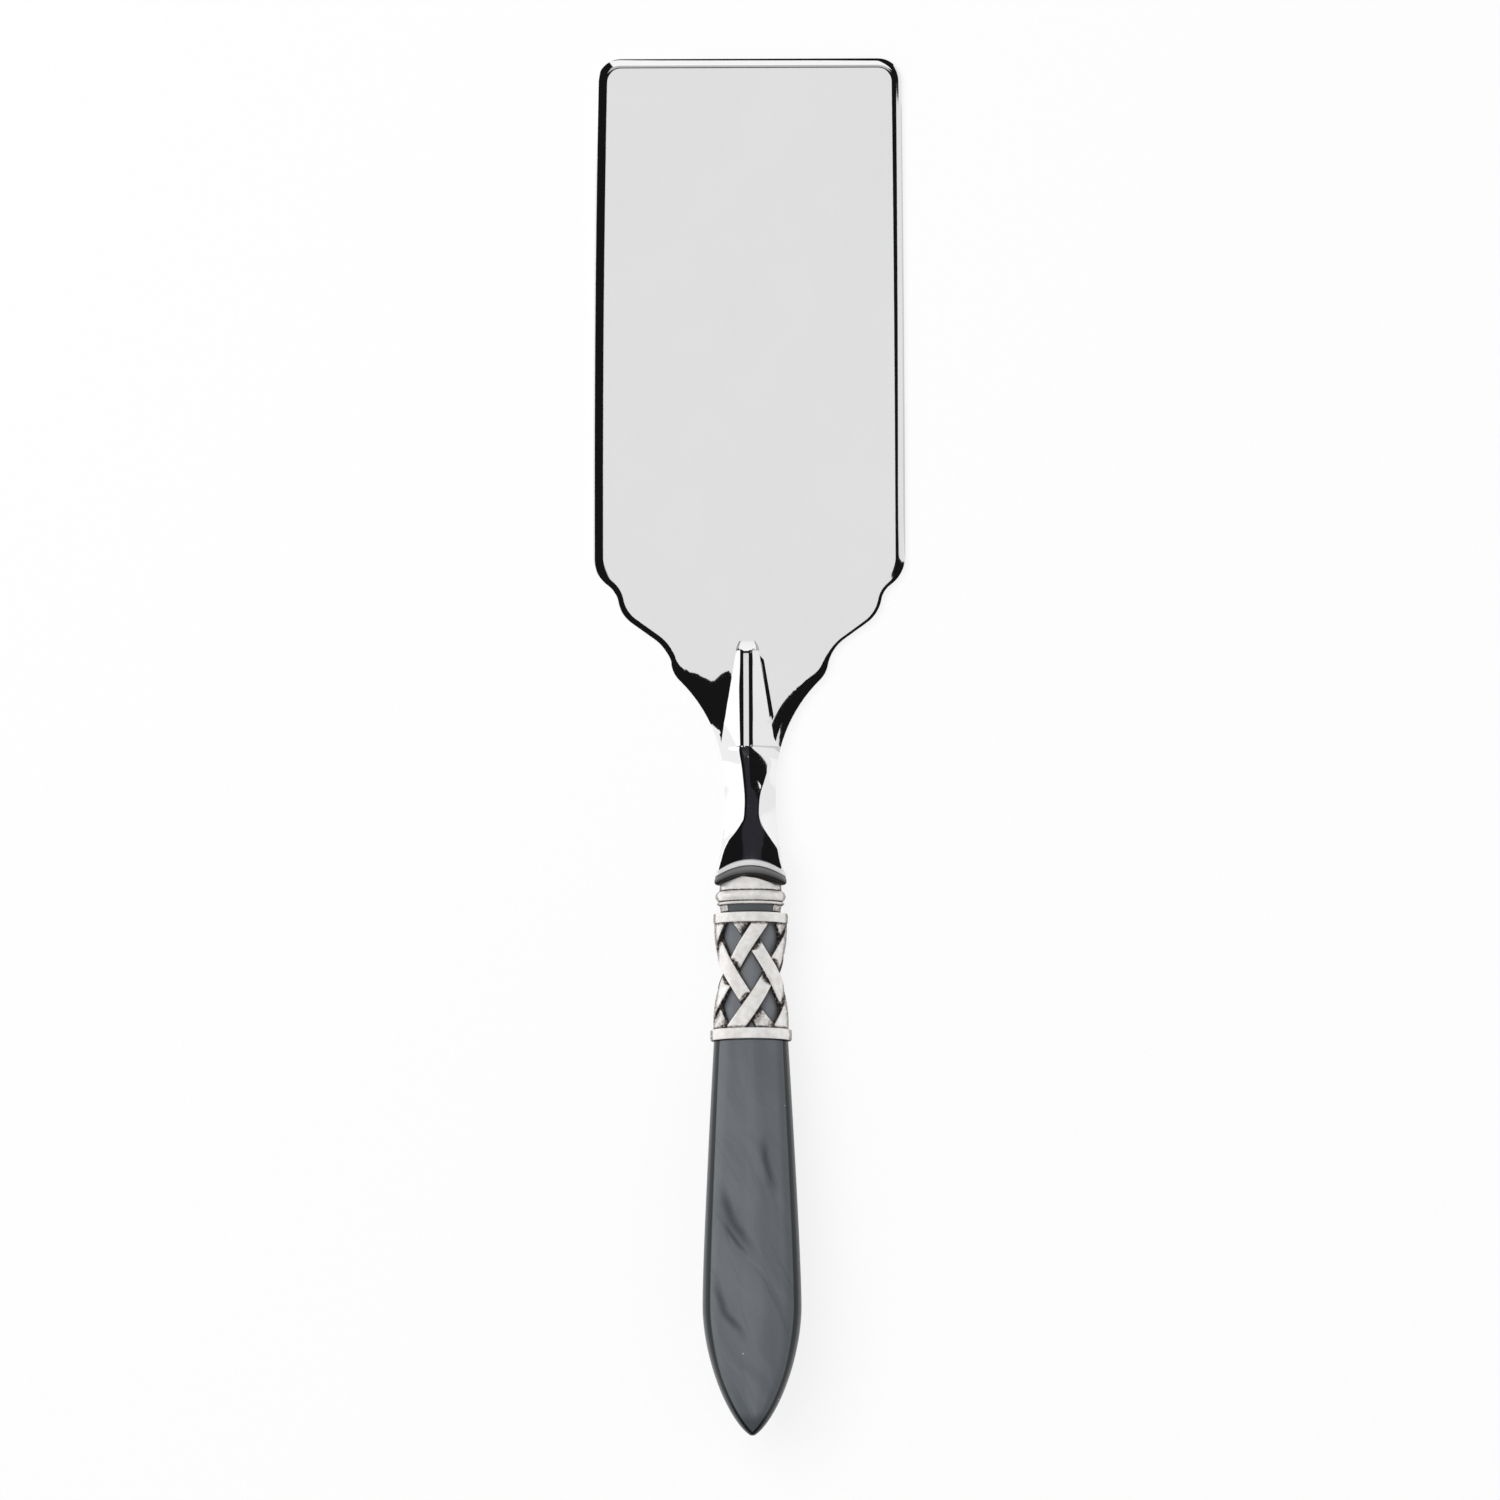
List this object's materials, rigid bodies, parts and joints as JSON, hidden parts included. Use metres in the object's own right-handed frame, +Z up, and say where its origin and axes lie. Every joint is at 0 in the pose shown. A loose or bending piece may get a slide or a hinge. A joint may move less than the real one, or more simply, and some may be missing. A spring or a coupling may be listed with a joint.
{
  "type": "lasagna server",
  "caption": "Hand-held serving tool with a wide flat steel blade, scalloped shoulders, a faceted neck, a domed cap, an openwork woven sleeve and a pointed pearl resin handle.",
  "frame": {"origin": "below the middle of the whole length and width, on the plane of the blade's flat underside", "axes": "+X to the right, +Y from the handle to the blade's tip, +Z up out of the blade's serving face"},
  "size_m": [0.0662, 0.2918, 0.0242],
  "materials": {
    "polished_steel": "polished",
    "tang_steel": "satin",
    "aged_silver": "satin",
    "pearl_resin": "gloss",
    "cured_glue": "satin"
  },
  "bodies": {
    "root": {"blade": "polished_steel", "neck": "polished_steel", "tang": "tang_steel", "ferrule_cap": "aged_silver", "lattice_sleeve": "aged_silver", "handle": "pearl_resin", "adhesive": "cured_glue"}
  },
  "joints": []
}
